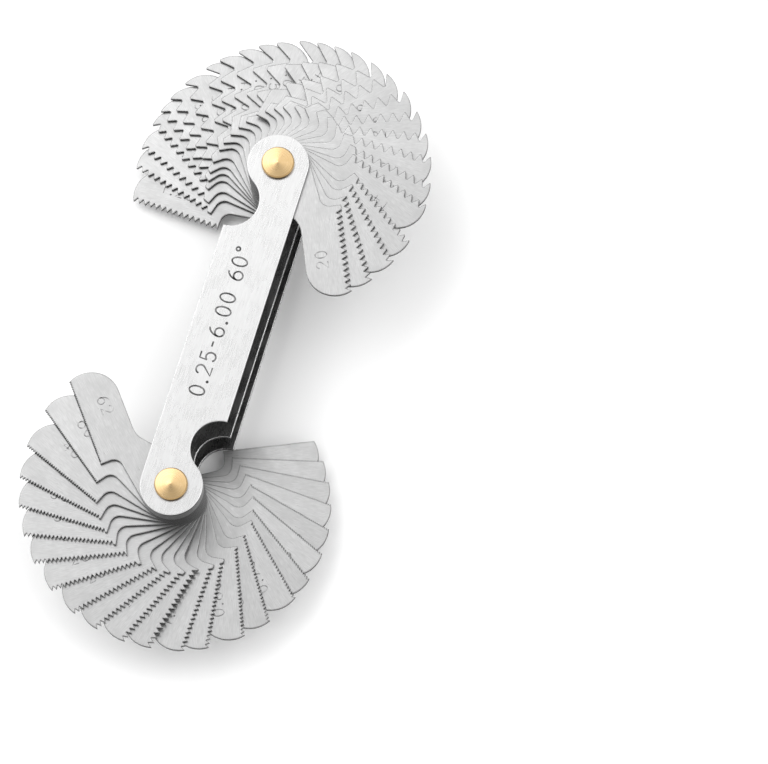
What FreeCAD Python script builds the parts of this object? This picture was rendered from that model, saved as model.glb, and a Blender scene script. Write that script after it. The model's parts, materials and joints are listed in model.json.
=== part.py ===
"""Thread pitch gauge: fifty-two toothed leaves that swing on two rivets between three case plates.

The gauge lies on its back, with its rear rivet heads down.  The origin is on the axis of the lower
rivet, at the underside of that rivet's rear head.  +Y runs along the case to the upper rivet and +Z
runs through the stack to the front plate.  All lengths are in millimetres and all angles in degrees.
"""

import FreeCAD, Part
import Sketcher
import math
import os

from FreeCAD import Placement, Rotation, Vector

# ---------------------------------------------------------------- driving dimensions

SIZES = (
    ("RivetSpacing", 72.0, "between the axes of the two rivets"),
    ("HubRadius", 6.4, "round end of a plate, of a leaf and of a washer"),
    ("CaseHalfWidth", 6.8, "case's centre line to a plate's corner beside its notch"),
    ("NotchRadius", 5.8, "finger notch in the side of each plate"),
    ("NotchBearing", 55.4, "direction of the notch's centre from the rivet beside it"),
    ("PlateThickness", 0.8, "each of the three case plates"),
    ("PlateEdgeBreak", 0.12, "chamfer round the outer face of the two outer plates"),
    ("LeafThickness", 0.6, "a leaf, and a spacer washer"),
    ("LeafGap", 0.04, "running gap on each side of a leaf or washer"),
    ("ShaftRadius", 1.8, "rivet's shaft, and its holes in the plates"),
    ("ShaftClearance", 0.05, "between the shaft and a leaf's or washer's hole"),
    ("HeadRadius", 3.4, "rivet's heads"),
    ("HeadHeight", 0.9, "rivet's heads"),
    ("HeadChamfer", 0.25, "round the outer face of the rivet's heads"),
    ("ToothLine", 11.8, "rivet's axis to the line of the tooth crests"),
    ("HeelReach", 10.4, "rivet's axis to the heel, along the tooth line"),
    ("TipReach", 29.2, "rivet's axis to the tip, along the tooth line"),
    ("BladeWidth", 8.8, "tooth crests to the straight back of the blade"),
    ("TipRound", 6.0, "arc from the tip to the back of the blade"),
    ("NeckRound", 5.0, "hollow where the neck runs into the blade's back"),
    ("HeelRound", 2.0, "hollow where the neck runs into the heel"),
    ("BackSlope", 40.0, "neck's back edge to the tooth line"),
    ("ThroatSlope", 8.0, "neck's toothed-side edge to the tooth line"),
    ("FoldTurn", 22.0, "tooth line to the case's centre line with the leaf folded in"),
)

MM_PER_INCH = 25.4
SAME_POINT = 1e-6
METRIC_FLANK = 60.0
WHITWORTH_FLANK = 55.0
TRUNCATED_FROM_PITCH = 1.5   # coarser teeth have flat crests and roots, finer ones are plain vees
CREST_FLAT = 1.0 / 8.0       # of the pitch
ROOT_FLAT = 1.0 / 8.0        # of the pitch

# Each row is a leaf, from the front of the stack to the rear: its thread, and how far it stands open
# from the folded position when the gauge is fanned out.
UPPER_FRONT_LEAVES = (  # threads per inch, opening
    (20, 46), (19, 55), (18, 66), (16, 76), (14, 92), (13, 101), (12, 112), (11, 122),
    (10, 132), (9, 142), (8, 152), (7, 160), (6, 169), (5, 176), (4.5, 183), (4, 190),
)
UPPER_REAR_LEAVES = (  # pitch, opening
    (6.0, 199), (5.5, 206), (5.0, 214), (4.5, 222), (4.0, 228), (3.5, 238),
    (3.0, 246), (2.5, 252), (2.0, 258), (1.75, 268), (1.5, 276), (1.25, 289),
)
LOWER_FRONT_LEAVES = (  # threads per inch, opening
    (62, 60), (60, 74), (48, 89), (40, 101), (36, 112), (32, 123),
    (30, 134), (28, 146), (26, 158), (25, 168), (24, 179), (22, 189),
)
LOWER_REAR_LEAVES = (  # pitch, opening
    (1.0, 201), (0.9, 210), (0.8, 224), (0.75, 235), (0.7, 248), (0.6, 257),
    (0.5, 268), (0.45, 278), (0.4, 288), (0.35, 297), (0.3, 306), (0.25, 315),
)

SPACER_COUNT = len(UPPER_FRONT_LEAVES) - len(LOWER_FRONT_LEAVES)
LOWER_FOLDED_BEARING = 90.0    # a folded leaf of the lower rivet points along +Y, to the upper one
UPPER_FOLDED_BEARING = -90.0

doc = FreeCAD.newDocument("ThreadPitchGauge")
sheet = doc.addObject("Spreadsheet::Sheet", "Dims")
for row, (alias, value, meaning) in enumerate(SIZES, start=1):
    sheet.set(f"A{row}", alias)
    sheet.set(f"B{row}", str(value))
    sheet.setAlias(f"B{row}", alias)
    sheet.set(f"C{row}", meaning)
doc.recompute()


def size(alias):
    """Read one driving dimension."""
    return float(sheet.get(alias))


def value_of(formula):
    """Value of a formula made of the driving dimensions."""
    return float(sheet.evalExpression(formula))


# ---------------------------------------------------------------- plane geometry helpers

def polar(radius, degrees, centre=Vector()):
    """Point at a radius and direction from a centre."""
    angle = math.radians(degrees)
    return centre + Vector(radius * math.cos(angle), radius * math.sin(angle), 0)


def bearing(start, end):
    """Direction from one point to another, in degrees."""
    return math.degrees(math.atan2(end.y - start.y, end.x - start.x))


def arc(centre, radius, start_degrees, end_degrees):
    """Arc of a circle that runs counter-clockwise between two directions."""
    circle = Part.Circle(centre, Vector(0, 0, 1), radius)
    return Part.ArcOfCircle(circle, math.radians(start_degrees), math.radians(end_degrees))


def tangent_bearing(point, centre, radius, side):
    """Direction from a circle's centre to where a line through an outside point touches it."""
    half_angle = math.degrees(math.acos(radius / point.distanceToPoint(centre)))
    return bearing(centre, point) + side * half_angle


def crossing(point, degrees, height):
    """Where the line through a point in a direction reaches a height."""
    return Vector(point.x + (height - point.y) / math.tan(math.radians(degrees)), height, 0)


# ---------------------------------------------------------------- document helpers

H_AXIS = -1            # a sketch's own axes and origin, as its constraints number them
V_AXIS = -2
SKETCH_ORIGIN = (-1, 1)


def xy_plane(body):
    """The body's own XY plane."""
    return next(plane for plane in body.Origin.OriginFeatures if plane.Role == "XY_Plane")


def xz_plane(body):
    """The body's own XZ plane."""
    return next(plane for plane in body.Origin.OriginFeatures if plane.Role == "XZ_Plane")


def new_body(label):
    """Start a sub-part whose label names its file."""
    body = doc.addObject("PartDesign::Body", label)
    body.Label = label
    return body


def new_sketch(body, name, plane):
    """Start a sketch on one of the body's own planes."""
    sketch = body.newObject("Sketcher::SketchObject", f"{body.Label}_{name}")
    sketch.AttachmentSupport = (plane, [""])
    sketch.MapMode = "FlatFace"
    return sketch


def close_loop(sketch, outline):
    """Draw an outline whose elements follow each other, and join their ends."""
    ids = sketch.addGeometry(outline, False)
    joints = []
    for position, current in enumerate(ids):
        following = ids[(position + 1) % len(ids)]
        here = outline[position]
        after = outline[(position + 1) % len(ids)]
        end = 1 if reversed_in_loop(here, outline[position - 1]) else 2
        begin = 2 if reversed_in_loop(after, here) else 1
        joints.append(Sketcher.Constraint("Coincident", current, end, following, begin))
    sketch.addConstraint(joints)
    return ids


def reversed_in_loop(element, before):
    """An arc always runs counter-clockwise, so a hollow one meets the element before it with its end."""
    ends = (before.StartPoint, before.EndPoint)
    to_start = min(element.StartPoint.distanceToPoint(end) for end in ends)
    to_end = min(element.EndPoint.distanceToPoint(end) for end in ends)
    return to_end < to_start


def add_hole(sketch, centre, radius_formula, radius):
    """Add a round hole whose radius follows the sheet."""
    hole = sketch.addGeometry(Part.Circle(centre, Vector(0, 0, 1), radius), False)
    index = sketch.addConstraint(Sketcher.Constraint("Radius", hole, radius))
    sketch.setExpression(f"Constraints[{index}]", radius_formula)


def bind_radius(sketch, element, alias):
    """Tie an arc's radius to the sheet."""
    index = sketch.addConstraint(Sketcher.Constraint("Radius", element, size(alias)))
    sketch.setExpression(f"Constraints[{index}]", f"Dims.{alias}")


def pad(body, sketch, length_formula):
    """Give a profile its thickness."""
    feature = body.newObject("PartDesign::Pad", f"{body.Label}_thickness")
    feature.Profile = sketch
    feature.setExpression("Length", length_formula)
    sketch.Visibility = False
    return feature


# ---------------------------------------------------------------- heights in the stack

def chamber_formula(slots):
    """Clear height between two plates that hold a number of leaves."""
    return f"({slots} * (Dims.LeafThickness + Dims.LeafGap) + Dims.LeafGap)"


REAR_SLOTS = len(UPPER_REAR_LEAVES)
FRONT_SLOTS = len(UPPER_FRONT_LEAVES)
REAR_PLATE_Z = "Dims.HeadHeight"
MIDDLE_PLATE_Z = f"{REAR_PLATE_Z} + Dims.PlateThickness + {chamber_formula(REAR_SLOTS)}"
FRONT_PLATE_Z = f"{MIDDLE_PLATE_Z} + Dims.PlateThickness + {chamber_formula(FRONT_SLOTS)}"
RIVET_LENGTH = f"{FRONT_PLATE_Z} + Dims.PlateThickness + Dims.HeadHeight"


def slot_formula(plate_formula, slots_above_plate):
    """Underside of the leaf or washer in a slot, counted up from the plate below it."""
    step = "(Dims.LeafThickness + Dims.LeafGap)"
    return f"{plate_formula} + Dims.PlateThickness + Dims.LeafGap + {slots_above_plate} * {step}"


# ---------------------------------------------------------------- case plates

def plate_outline():
    """Outline with round ends and a finger notch beside each rivet, the same turned half round."""
    hub = size("HubRadius")
    notch = size("NotchRadius")
    notch_bearing = size("NotchBearing")
    half_width = size("CaseHalfWidth")
    lower = Vector()
    upper = Vector(0, size("RivetSpacing"), 0)
    notch_centre = polar(hub + notch, notch_bearing)
    rise = math.sqrt(notch ** 2 - (notch_centre.x - half_width) ** 2)
    corner = Vector(half_width, notch_centre.y + rise, 0)
    corner_bearing = bearing(notch_centre, corner)
    touch = tangent_bearing(corner, upper, hub, 1)
    edge_end = polar(hub, touch, upper)

    def turned(point):
        """The point turned half round about the middle of the plate."""
        return upper - point

    return [
        arc(lower, hub, touch - 180, notch_bearing),
        arc(notch_centre, notch, corner_bearing, notch_bearing + 180),
        Part.LineSegment(corner, edge_end),
        arc(upper, hub, touch, notch_bearing + 180),
        arc(turned(notch_centre), notch, corner_bearing + 180, notch_bearing + 360),
        Part.LineSegment(turned(corner), turned(edge_end)),
    ]


def make_plate(label, height_formula, broken_face):
    """Make one case plate; broken_face is +1 or -1 for a chamfered upper or lower face, or 0."""
    body = new_body(label)
    sketch = new_sketch(body, "outline", xy_plane(body))
    ids = close_loop(sketch, plate_outline())
    for end_arc in (ids[0], ids[3]):
        bind_radius(sketch, end_arc, "HubRadius")
    for centre in (Vector(), Vector(0, size("RivetSpacing"), 0)):
        add_hole(sketch, centre, "Dims.ShaftRadius", size("ShaftRadius"))
    blank = pad(body, sketch, "Dims.PlateThickness")
    if broken_face:
        doc.recompute()
        height = size("PlateThickness") if broken_face > 0 else 0.0
        edges = [f"Edge{number}" for number, edge in enumerate(blank.Shape.Edges, start=1)
                 if is_outline_edge(edge, height)]
        chamfer = body.newObject("PartDesign::Chamfer", f"{label}_edge_break")
        chamfer.Base = (blank, edges)
        chamfer.setExpression("Size", "Dims.PlateEdgeBreak")
    body.setExpression("Placement.Base.z", height_formula)
    return body


def is_outline_edge(edge, height):
    """An edge of the plate's outline at a height, and not of a rivet hole."""
    at_height = all(abs(vertex.Z - height) < SAME_POINT for vertex in edge.Vertexes)
    return at_height and not edge.isClosed()


# ---------------------------------------------------------------- rivets

def make_rivet(label):
    """Make a rivet: a shaft with a flat chamfered head at each end, turned as one piece."""
    half = [
        ("0", "0"),
        ("Dims.HeadRadius - Dims.HeadChamfer", "0"),
        ("Dims.HeadRadius", "Dims.HeadChamfer"),
        ("Dims.HeadRadius", "Dims.HeadHeight"),
        ("Dims.ShaftRadius", "Dims.HeadHeight"),
    ]
    other_half = [(radius, f"{RIVET_LENGTH} - ({height})") for radius, height in reversed(half)]
    formulas = half + other_half
    corners = [Vector(value_of(radius), value_of(height), 0) for radius, height in formulas]
    body = new_body(label)
    sketch = new_sketch(body, "profile", xz_plane(body))
    sides = [Part.LineSegment(start, end) for start, end in zip(corners, corners[1:] + corners[:1])]
    ids = close_loop(sketch, sides)
    for side, (radius, height) in zip(ids, formulas):
        place_start(sketch, side, "DistanceX", V_AXIS, radius)
        place_start(sketch, side, "DistanceY", H_AXIS, height)
    turned = body.newObject("PartDesign::Revolution", f"{label}_turning")
    turned.Profile = sketch
    turned.ReferenceAxis = (sketch, ["V_Axis"])
    turned.Angle = 360
    sketch.Visibility = False
    return body


def place_start(sketch, side, direction, axis, formula):
    """Hold the start of a profile's side on an axis, or at a distance from it."""
    distance = value_of(formula)
    if distance == 0:
        sketch.addConstraint(Sketcher.Constraint("PointOnObject", side, 1, axis))
    else:
        constraint = Sketcher.Constraint(direction, *SKETCH_ORIGIN, side, 1, distance)
        index = sketch.addConstraint(constraint)
        sketch.setExpression(f"Constraints[{index}]", formula)


# ---------------------------------------------------------------- spacer washers

def make_spacers(label):
    """Make the washers that fill the lower rivet's spare slots, next to the front plate."""
    washers = []
    for number in range(SPACER_COUNT):
        height_formula = slot_formula(MIDDLE_PLATE_Z, len(LOWER_FRONT_LEAVES) + number)
        disc = doc.addObject("Part::Cylinder", f"washer_{number + 1}_disc")
        disc.setExpression("Radius", "Dims.HubRadius")
        hole = doc.addObject("Part::Cylinder", f"washer_{number + 1}_hole")
        hole.setExpression("Radius", "Dims.ShaftRadius + Dims.ShaftClearance")
        for cylinder in (disc, hole):
            cylinder.setExpression("Height", "Dims.LeafThickness")
            cylinder.setExpression("Placement.Base.z", height_formula)
        washer = doc.addObject("Part::Cut", f"washer_{number + 1}")
        washer.Base = disc
        washer.Tool = hole
        washers.append(washer)
    spacers = doc.addObject("Part::Compound", label)
    spacers.Links = washers
    spacers.Label = label
    return spacers


# ---------------------------------------------------------------- leaves

def tooth_corners(pitch, flank_degrees):
    """Corners of the teeth from the tip to the heel, both on the line of the crests."""
    crest_line = size("ToothLine")
    tip = size("TipReach")
    run = tip - size("HeelReach")
    truncated = pitch >= TRUNCATED_FROM_PITCH
    crest = pitch * CREST_FLAT if truncated else 0.0
    root = pitch * ROOT_FLAT if truncated else 0.0
    flank_run = (pitch - crest - root) / 2
    depth = flank_run / math.tan(math.radians(flank_degrees / 2))
    corners = [Vector(tip, crest_line, 0)]
    for tooth in range(int((run - crest) / pitch + SAME_POINT)):
        start = tip - tooth * pitch - crest / 2
        if truncated:
            corners.append(Vector(start, crest_line, 0))
        corners.append(Vector(start - flank_run, crest_line - depth, 0))
        if truncated:
            corners.append(Vector(start - flank_run - root, crest_line - depth, 0))
        corners.append(Vector(start - 2 * flank_run - root, crest_line, 0))
    heel = Vector(size("HeelReach"), crest_line, 0)
    if corners[-1].distanceToPoint(heel) < pitch * CREST_FLAT:
        corners[-1] = heel
    else:
        corners.append(heel)
    return corners


def leaf_outline(pitch, flank_degrees):
    """Outline of a leaf about its hub: +X runs along the tooth line and the teeth point along +Y."""
    hub = size("HubRadius")
    crest_line = size("ToothLine")
    back_height = crest_line - size("BladeWidth")
    tip_round = size("TipRound")
    neck_round = size("NeckRound")
    heel_round = size("HeelRound")
    back_slope = size("BackSlope")
    throat_slope = size("ThroatSlope")
    tip = Vector(size("TipReach"), crest_line, 0)
    heel = Vector(size("HeelReach"), crest_line, 0)

    back_touch = polar(hub, back_slope - 90)
    back_bend = crossing(back_touch, back_slope, back_height)
    setback = neck_round * math.tan(math.radians(back_slope / 2))
    neck_start = polar(setback, back_slope + 180, back_bend)
    neck_end = back_bend + Vector(setback, 0, 0)
    neck_centre = neck_end - Vector(0, neck_round, 0)

    tip_centre_y = back_height + tip_round
    tip_run = math.sqrt(tip_round ** 2 - (crest_line - tip_centre_y) ** 2)
    tip_centre = Vector(tip.x - tip_run, tip_centre_y, 0)
    back_end = Vector(tip_centre.x, back_height, 0)

    throat_touch = polar(hub, throat_slope + 90)
    rise_to_heel = (heel.x - throat_touch.x) * math.tan(math.radians(throat_slope))
    throat_bend = Vector(heel.x, throat_touch.y + rise_to_heel, 0)
    throat_turn = 90 - throat_slope
    setback = heel_round * math.tan(math.radians(throat_turn / 2))
    throat_end = polar(setback, throat_slope + 180, throat_bend)
    heel_foot = throat_bend + Vector(0, setback, 0)
    heel_centre = heel_foot - Vector(heel_round, 0, 0)

    corners = tooth_corners(pitch, flank_degrees)
    teeth = [Part.LineSegment(start, end) for start, end in zip(corners, corners[1:])]
    return [
        arc(Vector(), hub, throat_slope + 90, back_slope + 270),
        Part.LineSegment(back_touch, neck_start),
        arc(neck_centre, neck_round, 90, back_slope + 90),
        Part.LineSegment(neck_end, back_end),
        arc(tip_centre, tip_round, -90, bearing(tip_centre, tip)),
        *teeth,
        Part.LineSegment(heel, heel_foot),
        arc(heel_centre, heel_round, throat_slope - 90, 0),
        Part.LineSegment(throat_end, throat_touch),
    ]


def make_leaf(label, pitch, flank_degrees, height_formula, turn):
    """Make one leaf, turned to its fanned-out place about the origin."""
    body = new_body(label)
    sketch = new_sketch(body, "outline", xy_plane(body))
    ids = close_loop(sketch, leaf_outline(pitch, flank_degrees))
    for element, alias in ((0, "HubRadius"), (2, "NeckRound"), (4, "TipRound")):
        bind_radius(sketch, ids[element], alias)
    hole = size("ShaftRadius") + size("ShaftClearance")
    add_hole(sketch, Vector(), "Dims.ShaftRadius + Dims.ShaftClearance", hole)
    pad(body, sketch, "Dims.LeafThickness")
    body.Placement = Placement(Vector(), Rotation(Vector(0, 0, 1), turn))
    body.setExpression("Placement.Base.z", height_formula)
    return body


def leaf_label(number, unit):
    """Name of a leaf by its thread, such as leaf_4_5_tpi or leaf_1_25_mm."""
    text = f"{number:.2f}" if unit == "mm" else f"{number:g}"
    return f"leaf_{text.replace('.', '_')}_{unit}"


def make_chamber(rows, unit, plate_formula, folded_bearing):
    """Make the leaves of one chamber on one rivet, listed from the front to the rear."""
    leaves = []
    for position, (number, opening) in enumerate(rows):
        metric = unit == "mm"
        pitch = float(number) if metric else MM_PER_INCH / number
        flank = METRIC_FLANK if metric else WHITWORTH_FLANK
        height_formula = slot_formula(plate_formula, len(rows) - 1 - position)
        turn = folded_bearing - size("FoldTurn") + opening
        label = leaf_label(number, unit)
        leaves.append(make_leaf(label, pitch, flank, height_formula, turn))
    return leaves


# ---------------------------------------------------------------- assembly

lower_parts = [
    make_rivet("lower_rivet"),
    *make_chamber(LOWER_FRONT_LEAVES, "tpi", MIDDLE_PLATE_Z, LOWER_FOLDED_BEARING),
    *make_chamber(LOWER_REAR_LEAVES, "mm", REAR_PLATE_Z, LOWER_FOLDED_BEARING),
    make_spacers("spacer_washers"),
]
upper_parts = [
    make_rivet("upper_rivet"),
    *make_chamber(UPPER_FRONT_LEAVES, "tpi", MIDDLE_PLATE_Z, UPPER_FOLDED_BEARING),
    *make_chamber(UPPER_REAR_LEAVES, "mm", REAR_PLATE_Z, UPPER_FOLDED_BEARING),
]
for part in upper_parts:
    part.setExpression("Placement.Base.y", "Dims.RivetSpacing")
case_plates = [
    make_plate("rear_plate", REAR_PLATE_Z, -1),
    make_plate("middle_plate", MIDDLE_PLATE_Z, 0),
    make_plate("front_plate", FRONT_PLATE_Z, 1),
]
sub_parts = case_plates + lower_parts + upper_parts
doc.recompute()

for item in doc.Objects:
    if {"Invalid", "Error"} & set(item.State):
        raise RuntimeError(f"{item.Label} did not compute: {item.State}")
for part in sub_parts:
    if part.Shape.isNull() or not part.Shape.isValid():
        raise RuntimeError(f"{part.Label} has no valid shape")
    expected = SPACER_COUNT if part.Label == "spacer_washers" else 1
    if len(part.Shape.Solids) != expected:
        raise RuntimeError(f"{part.Label} has {len(part.Shape.Solids)} solids, not {expected}")

os.makedirs("parts", exist_ok=True)
for part in sub_parts:
    part.Shape.exportStep(f"parts/{part.Label}.step")
print(f"{len(sub_parts)} sub-parts written")
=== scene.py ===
"""Looks of a folding thread pitch gauge: stamped steel leaves, a three-plate case and brass rivets.

Every length is in metres in the part's own frame, where +Y runs along the case from the lower rivet to
the upper one and +Z runs out of the front plate.
"""

import json
import logging
import math
import random
from dataclasses import dataclass, field, replace
from enum import Enum
from typing import ClassVar

import bmesh
import bpy
from mathutils import Euler, Matrix, Vector

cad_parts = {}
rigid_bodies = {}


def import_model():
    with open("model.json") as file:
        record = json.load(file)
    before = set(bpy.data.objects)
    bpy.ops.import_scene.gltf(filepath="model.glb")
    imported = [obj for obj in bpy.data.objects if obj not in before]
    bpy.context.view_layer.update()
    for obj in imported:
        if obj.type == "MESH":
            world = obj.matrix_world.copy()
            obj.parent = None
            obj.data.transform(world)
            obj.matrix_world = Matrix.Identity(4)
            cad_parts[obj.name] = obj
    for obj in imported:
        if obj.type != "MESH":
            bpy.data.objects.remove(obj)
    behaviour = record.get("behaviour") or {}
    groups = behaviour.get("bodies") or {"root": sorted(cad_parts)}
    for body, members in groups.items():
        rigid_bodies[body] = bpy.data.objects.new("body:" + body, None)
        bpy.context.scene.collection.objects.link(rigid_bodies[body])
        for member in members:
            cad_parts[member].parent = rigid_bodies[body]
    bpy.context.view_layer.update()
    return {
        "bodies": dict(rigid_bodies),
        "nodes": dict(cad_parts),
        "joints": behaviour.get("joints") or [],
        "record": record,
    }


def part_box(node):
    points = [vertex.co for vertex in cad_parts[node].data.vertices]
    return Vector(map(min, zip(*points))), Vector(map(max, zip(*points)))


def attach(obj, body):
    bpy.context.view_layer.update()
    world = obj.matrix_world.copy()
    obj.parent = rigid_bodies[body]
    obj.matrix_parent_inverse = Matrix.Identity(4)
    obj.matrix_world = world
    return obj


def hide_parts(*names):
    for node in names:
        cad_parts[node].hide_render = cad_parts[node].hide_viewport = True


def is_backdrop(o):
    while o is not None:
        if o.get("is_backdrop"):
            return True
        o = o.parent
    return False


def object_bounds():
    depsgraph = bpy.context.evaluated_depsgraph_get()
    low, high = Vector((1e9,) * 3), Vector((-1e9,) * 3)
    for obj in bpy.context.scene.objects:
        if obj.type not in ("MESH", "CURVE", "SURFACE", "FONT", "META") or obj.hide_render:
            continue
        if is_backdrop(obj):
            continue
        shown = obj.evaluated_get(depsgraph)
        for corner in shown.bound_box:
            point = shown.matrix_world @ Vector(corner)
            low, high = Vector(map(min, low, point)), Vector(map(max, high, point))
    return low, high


log = logging.getLogger("pitch_gauge")

MM = 0.001
NUMBER = "NodeSocketFloat"
VECTOR = "NodeSocketVector"
SEED = 52


# ---------------------------------------------------------------- node helpers

class NodeGraph:
    """A thin wrapper round a node tree that makes, sets and links nodes by plain names."""

    COLOUR_INPUTS = (0, 6, 7)

    def __init__(self, tree: bpy.types.NodeTree) -> None:
        """Wrap a tree.

        Args:
            tree: The node tree that the graph fills.
        """
        self.tree = tree

    def node(self, kind: str, **settings: object) -> bpy.types.Node:
        """Make a node and set its own properties.

        Args:
            kind: Blender's name of the node's type.
            **settings: Properties of the node, by name.

        Returns:
            The new node.
        """
        made = self.tree.nodes.new(kind)
        for name, value in settings.items():
            setattr(made, name, value)
        return made

    def link(self, source: bpy.types.NodeSocket, target: bpy.types.NodeSocket) -> None:
        """Link an output to an input."""
        self.tree.links.new(source, target)

    def give(self, socket: bpy.types.NodeSocket, value: object) -> None:
        """Link an input if it is given another socket, and set it otherwise.

        Args:
            socket: The input.
            value: A socket to link, or a plain value.
        """
        if isinstance(value, bpy.types.NodeSocket):
            self.link(value, socket)
        else:
            socket.default_value = value

    def feed(self, node: bpy.types.Node, **values: object) -> bpy.types.Node:
        """Set or link a node's inputs, named with underscores for spaces.

        Args:
            node: The node whose inputs are set.
            **values: A socket to link, or a plain value, for each input.

        Returns:
            The same node.
        """
        for name, value in values.items():
            self.give(node.inputs[name.replace("_", " ")], value)
        return node

    def math(self, operation: str, first: object, second: object = 0.0,
             clamp: bool = False) -> bpy.types.NodeSocket:
        """Combine two numbers.

        Args:
            operation: The Math node's operation.
            first: A socket or a number.
            second: A socket or a number.
            clamp: Whether the result is held between 0 and 1.

        Returns:
            The result's socket.
        """
        made = self.node("ShaderNodeMath", operation=operation, use_clamp=clamp)
        for socket, value in zip(made.inputs, (first, second)):
            self.give(socket, value)
        return made.outputs[0]

    def scaled_sum(self, value: object, factor: float, added: object) -> bpy.types.NodeSocket:
        """Scale a number and add another.

        Args:
            value: The number that is scaled.
            factor: The scale.
            added: A socket or a number to add.

        Returns:
            The result's socket.
        """
        result = self.math("MULTIPLY_ADD", value, factor)
        self.give(result.node.inputs[2], added)
        return result

    def blend(self, factor: object, first: object, second: object) -> bpy.types.NodeSocket:
        """Mix two colours.

        Args:
            factor: A socket or a number from 0 to 1.
            first: The colour at 0, as a socket or four numbers.
            second: The colour at 1, as a socket or four numbers.

        Returns:
            The mixed colour's socket.
        """
        made = self.node("ShaderNodeMix", data_type="RGBA", clamp_factor=True)
        for index, value in zip(self.COLOUR_INPUTS, (factor, first, second)):
            self.give(made.inputs[index], value)
        return made.outputs[2]

    def ramp(self, value: bpy.types.NodeSocket, low: float, high: float, start: float = 0.0,
             end: float = 1.0) -> bpy.types.NodeSocket:
        """Map a number from one range to another, held at both ends.

        Args:
            value: The number.
            low: What maps to start.
            high: What maps to end.
            start: The result at low.
            end: The result at high.

        Returns:
            The result's socket.
        """
        made = self.node("ShaderNodeMapRange", clamp=True)
        self.link(value, made.inputs["Value"])
        for name, number in (("From Min", low), ("From Max", high), ("To Min", start), ("To Max", end)):
            made.inputs[name].default_value = number
        return made.outputs["Result"]


def grey(level: float) -> tuple[float, float, float, float]:
    """An opaque neutral colour."""
    return (level, level, level, 1.0)


def new_group(name: str, inputs: dict[str, tuple[str, object]], outputs: dict[str, str]) -> NodeGraph:
    """Start a shader node group with named sockets.

    Args:
        name: The group's name.
        inputs: Each input's socket type and default value, by name.
        outputs: Each output's socket type, by name.

    Returns:
        The graph, with its input and output nodes under the names "in" and "out".
    """
    tree = bpy.data.node_groups.new(name, "ShaderNodeTree")
    for label, (kind, value) in inputs.items():
        socket = tree.interface.new_socket(label, in_out="INPUT", socket_type=kind)
        if value is not None:
            socket.default_value = value
    for label, kind in outputs.items():
        tree.interface.new_socket(label, in_out="OUTPUT", socket_type=kind)
    graph = NodeGraph(tree)
    graph.node("NodeGroupInput", name="in")
    graph.node("NodeGroupOutput", name="out")
    return graph


# ---------------------------------------------------------------- shared shader effects

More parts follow.
